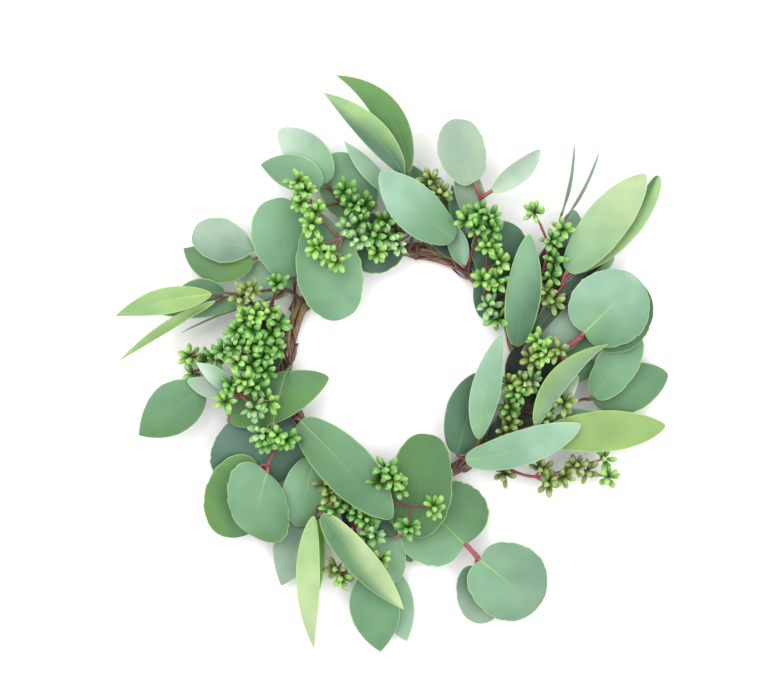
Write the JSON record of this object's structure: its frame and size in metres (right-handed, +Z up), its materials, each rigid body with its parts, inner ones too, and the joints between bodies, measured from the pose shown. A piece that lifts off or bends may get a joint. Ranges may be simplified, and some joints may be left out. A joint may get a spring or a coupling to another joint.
{
  "type": "artificial eucalyptus wreath",
  "caption": "Small round wreath of artificial eucalyptus: round, oval and long leaves and clusters of green buds on a ring of wound twigs, open in the middle.",
  "frame": {"origin": "middle of the outline seen from above, on the surface the wreath lies on", "axes": "+Z up, out of the wreath's face; +X to the right and +Y to the top of the picture, which looks straight down"},
  "size_m": [0.3358, 0.3468, 0.0414],
  "materials": {
    "bark": "rough brown bark, peeled to grey and tan in lengthwise strips",
    "wire": "matte brown floral wire",
    "bud": "satin yellow-green, paler at the tips",
    "fresh": "matte light yellow-green leaf with faint veins",
    "pale": "matte pale blue-green leaf with a chalky bloom",
    "grey": "matte grey-green leaf with a chalky bloom",
    "green": "matte mid-green leaf with a lighter midrib"
  },
  "bodies": {
    "root": {"ring_twig_1": "bark", "ring_twig_2": "bark", "ring_twig_3": "bark", "wire_tie_1": "wire", "wire_tie_2": "wire", "wire_tie_3": "wire", "wire_tie_4": "wire", "wire_tie_5": "wire", "wire_tie_6": "wire", "wire_tie_7": "wire", "leaves_top_long": "fresh", "leaves_left_long": "fresh", "leaves_lower_long": "fresh", "leaves_right_lower": "fresh", "leaves_upper_right_large": "fresh", "leaves_top_broad": "pale", "leaves_left_lower": "pale", "leaves_right_lower_ring": "pale", "leaves_right_upper": "pale", "leaves_top_right": "grey", "leaves_left_upper": "grey", "leaves_lower_left_round": "grey", "leaves_upper_right_edge": "grey", "leaves_top_left": "green", "leaves_left_upper_round": "green", "leaves_lower_left_hanging": "green", "leaf_over_ring_lower_left": "green", "leaves_bottom": "green", "leaves_bottom_round": "green", "leaves_bottom_right": "green", "leaves_right": "green", "leaves_upper_right_dark": "green", "seeds_top_left": "bud", "seeds_top_small": "bud", "seeds_top_right": "bud", "seeds_upper_right_ring": "bud", "seeds_upper_right": "bud", "seeds_right": "bud", "seeds_right_ring": "bud", "seeds_right_ring_lower": "bud", "seeds_right_outer": "bud", "seeds_lower_right": "bud", "seeds_bottom": "bud", "seeds_left_lower": "bud", "seeds_lower_left_inner": "bud", "seeds_lower": "bud", "seeds_left_outer": "bud", "seeds_left_upper": "bud", "seeds_left_middle": "bud", "seeds_left": "bud"}
  },
  "joints": []
}
